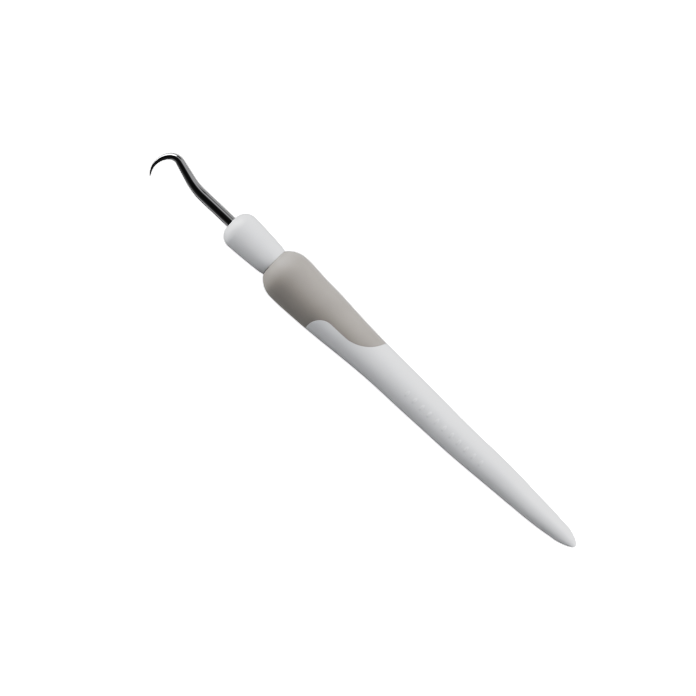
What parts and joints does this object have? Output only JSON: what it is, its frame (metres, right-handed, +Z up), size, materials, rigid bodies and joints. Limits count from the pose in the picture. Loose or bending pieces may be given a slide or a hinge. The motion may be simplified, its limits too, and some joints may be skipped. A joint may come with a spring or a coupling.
{
  "type": "hand scaler",
  "caption": "Slim hand tool: a pointed steel hook on a bent round shank, a white collar, a long white handle with a round tail, and a flush grey soft grip with an S-shaped edge.",
  "frame": {"origin": "on the table that the tool lies on, under the middle of the whole tool's box", "axes": "+X along the handle towards the hook, +Y towards the side that the hook's point curls to, +Z up from the table and square to the plane that the hook bends in"},
  "size_m": [0.1648, 0.0156, 0.0151],
  "materials": {
    "polished_steel": "polished stainless steel",
    "white_plastic": "satin moulded, very slightly cool white",
    "grey_soft_grip": "matt soft-touch elastomer, warm grey",
    "cured_adhesive": "cured amber epoxy, hidden"
  },
  "bodies": {
    "root": {"steel_hook": "polished_steel", "nose_collar": "white_plastic", "tang_bond": "cured_adhesive", "handle_body": "white_plastic", "soft_grip": "grey_soft_grip"}
  },
  "joints": []
}
